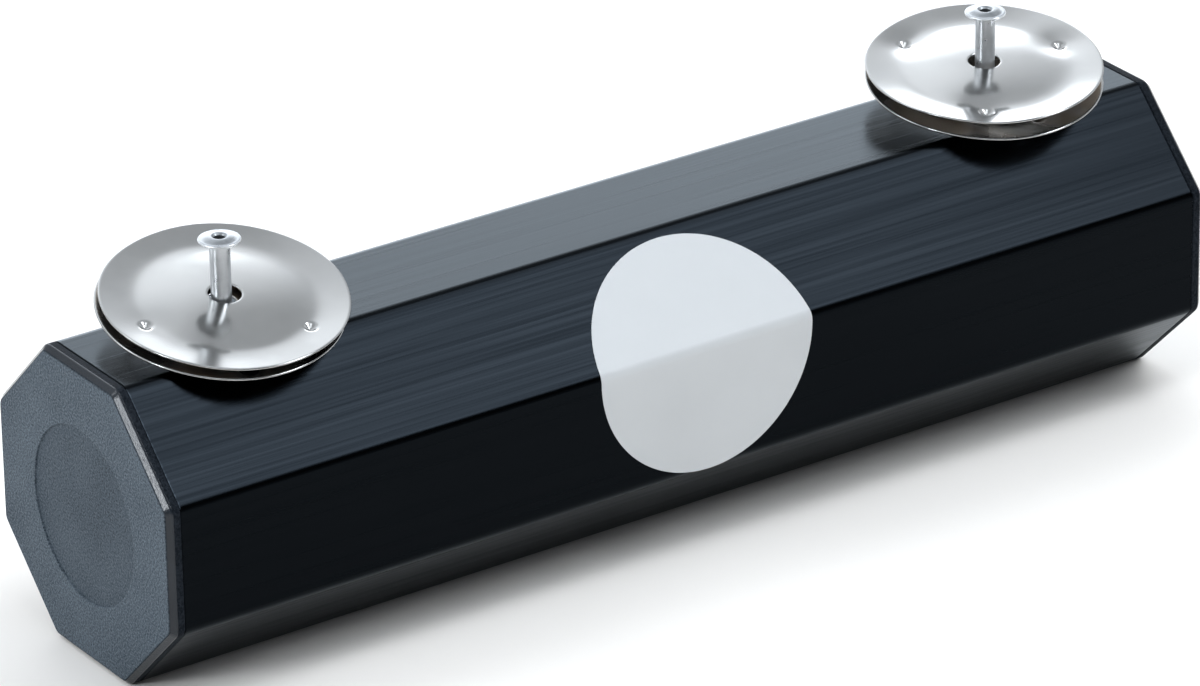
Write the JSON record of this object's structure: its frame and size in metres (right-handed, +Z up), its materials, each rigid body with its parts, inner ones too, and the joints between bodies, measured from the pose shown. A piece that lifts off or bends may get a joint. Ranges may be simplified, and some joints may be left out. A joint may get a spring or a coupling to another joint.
{
  "type": "percussion shaker",
  "caption": "Octagonal metal tube shaker with moulded end caps, loose shot inside and pairs of domed jingles on tall rivets standing on its top facet.",
  "frame": {"origin": "middle of the bottom facet, on the surface that the shaker lies on", "axes": "+X along the tube towards the right end cap, +Z up out of the facet that carries the jingles, -Y towards the facet with the lower half of the label"},
  "size_m": [0.245, 0.0621, 0.0812],
  "materials": {
    "tube_metal": "black anodised, drawn along its length",
    "cap_plastic": "moulded, fine matt grain",
    "jingle_metal": "polished nickel plate",
    "rivet_metal": "bright satin",
    "mandrel_steel": "drawn wire",
    "label_film": "silver white film",
    "shot_steel": "rolled"
  },
  "bodies": {
    "root": {"tube": "tube_metal", "left_end_cap": "cap_plastic", "right_end_cap": "cap_plastic", "label": "label_film", "left_rivet_sleeve": "rivet_metal", "right_rivet_sleeve": "rivet_metal", "left_rivet_mandrel": "mandrel_steel", "right_rivet_mandrel": "mandrel_steel"},
    "left_lower_jingle": {"left_lower_jingle": "jingle_metal"},
    "left_upper_jingle": {"left_upper_jingle": "jingle_metal"},
    "right_lower_jingle": {"right_lower_jingle": "jingle_metal"},
    "right_upper_jingle": {"right_upper_jingle": "jingle_metal"},
    "shot": {"shot": "shot_steel"}
  },
  "joints": [
    {"name": "left_lower_lift", "type": "slide", "parent": "root", "child": "left_lower_jingle", "axis": [0, 0, 1], "range_m": [0, 0.0048]},
    {"name": "left_upper_lift", "type": "slide", "parent": "left_lower_jingle", "child": "left_upper_jingle", "axis": [0, 0, 1], "range_m": [0, 0.0048]},
    {"name": "right_lower_lift", "type": "slide", "parent": "root", "child": "right_lower_jingle", "axis": [0, 0, 1], "range_m": [0, 0.0045]},
    {"name": "right_upper_lift", "type": "slide", "parent": "right_lower_jingle", "child": "right_upper_jingle", "axis": [0, 0, 1], "range_m": [0, 0.0045]},
    {"name": "shot_run", "type": "slide", "parent": "root", "child": "shot", "axis": [1, 0, 0], "range_m": [-0.065, 0.065]}
  ]
}
